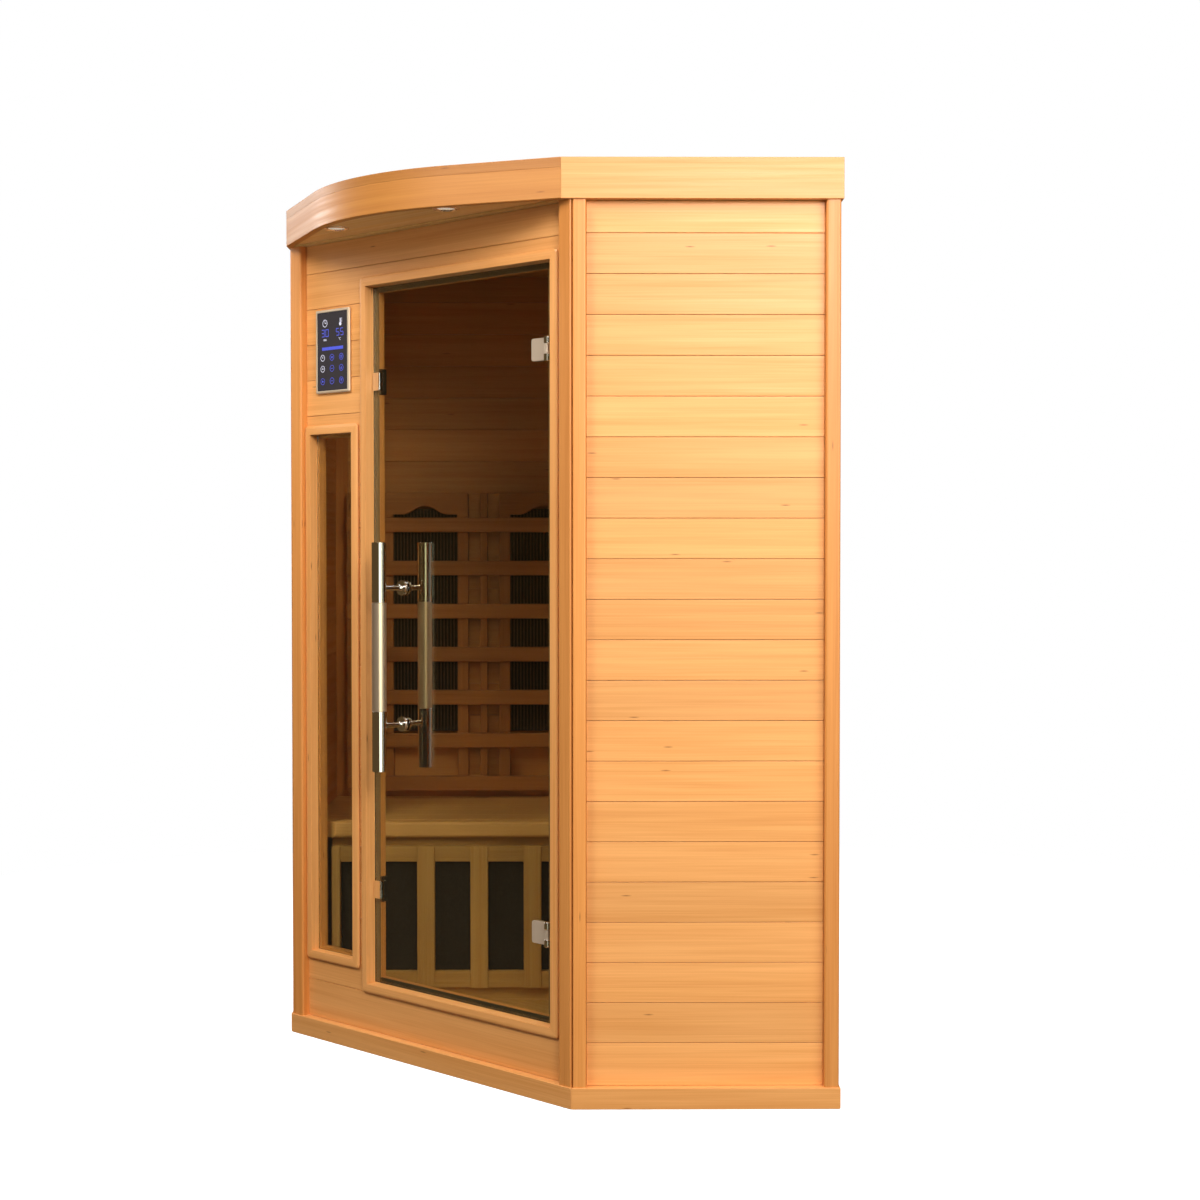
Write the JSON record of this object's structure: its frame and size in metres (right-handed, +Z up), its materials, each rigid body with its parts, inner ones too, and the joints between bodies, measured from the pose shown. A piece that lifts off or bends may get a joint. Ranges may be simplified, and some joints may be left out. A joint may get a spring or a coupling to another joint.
{
  "type": "infrared sauna cabin",
  "caption": "Corner infrared sauna cabin of clear finished hemlock with a tinted glass door, window, touch panel, bowed roof edge with downlights, corner bench and heaters behind slats.",
  "frame": {"origin": "on the floor under the middle of the cabin's bounding box", "axes": "+Z up, front with the door towards -Y, +X to the right seen from the front; the two back walls meet in a corner at +Y"},
  "size_m": [1.697, 1.3926, 1.9],
  "materials": {
    "hemlock": "satin clear lacquer over honey coloured hemlock boards",
    "inner_hemlock": "bare sanded hemlock",
    "plywood": "plain plywood",
    "tinted_glass": "bronze tinted toughened glass",
    "chrome": "polished",
    "satin_steel": "satin middle with polished ends",
    "seal_rubber": "matt black",
    "champagne_trim": "satin champagne",
    "panel_glass": "glossy black touch face with blue legends",
    "black_plastic": "fine moulded texture",
    "heater_black": "matt black heat coating",
    "downlight": "satin ring with a warm frosted lens",
    "power_box_steel": "grey powder coat"
  },
  "bodies": {
    "cabin": {"back_corner_post": "hemlock", "back_left_fascia": "hemlock", "back_left_outer_post": "hemlock", "back_left_wall_boards": "hemlock", "back_right_fascia": "hemlock", "back_right_outer_post": "hemlock", "back_right_wall_boards": "hemlock", "base_plinth": "hemlock", "ceiling_panel": "inner_hemlock", "control_bezel": "champagne_trim", "control_box": "black_plastic", "control_glass": "panel_glass", "door_casing": "hemlock", "door_jamb": "hemlock", "door_seal": "seal_rubber", "floor_panel": "inner_hemlock", "front_fascia": "hemlock", "front_left_post": "hemlock", "front_right_post": "hemlock", "front_soffit": "inner_hemlock", "front_wall_boards": "hemlock", "left_backrest": "inner_hemlock", "left_bench_apron": "hemlock", "left_bench_seat": "inner_hemlock", "left_calf_heater": "heater_black", "left_downlight": "downlight", "left_fascia": "hemlock", "left_front_post": "hemlock", "left_inner_heater": "heater_black", "left_outer_heater": "heater_black", "left_rear_post": "hemlock", "left_wall_boards": "hemlock", "lower_hinge_bracket": "chrome", "lower_magnetic_catch": "black_plastic", "mains_inlet": "black_plastic", "power_box": "power_box_steel", "right_backrest": "inner_hemlock", "right_bench_apron": "hemlock", "right_bench_seat": "inner_hemlock", "right_calf_heater": "heater_black", "right_downlight": "downlight", "right_fascia": "hemlock", "right_front_post": "hemlock", "right_inner_heater": "heater_black", "right_outer_heater": "heater_black", "right_rear_post": "hemlock", "right_wall_boards": "hemlock", "roof_deck": "plywood", "upper_hinge_bracket": "chrome", "upper_magnetic_catch": "black_plastic", "window_bead": "hemlock", "window_casing": "hemlock", "window_glass": "tinted_glass"},
    "door": {"door_glass": "tinted_glass", "outer_handle": "satin_steel", "inner_handle": "satin_steel", "upper_hinge_leaf": "chrome", "lower_hinge_leaf": "chrome", "upper_strike_plate": "chrome", "lower_strike_plate": "chrome"}
  },
  "joints": [
    {"name": "door_hinge", "type": "hinge", "parent": "cabin", "child": "door", "pos_m": [0.36724, -0.50798, 0.93], "axis": [0, 0, 1], "range_deg": [0, 110]}
  ]
}
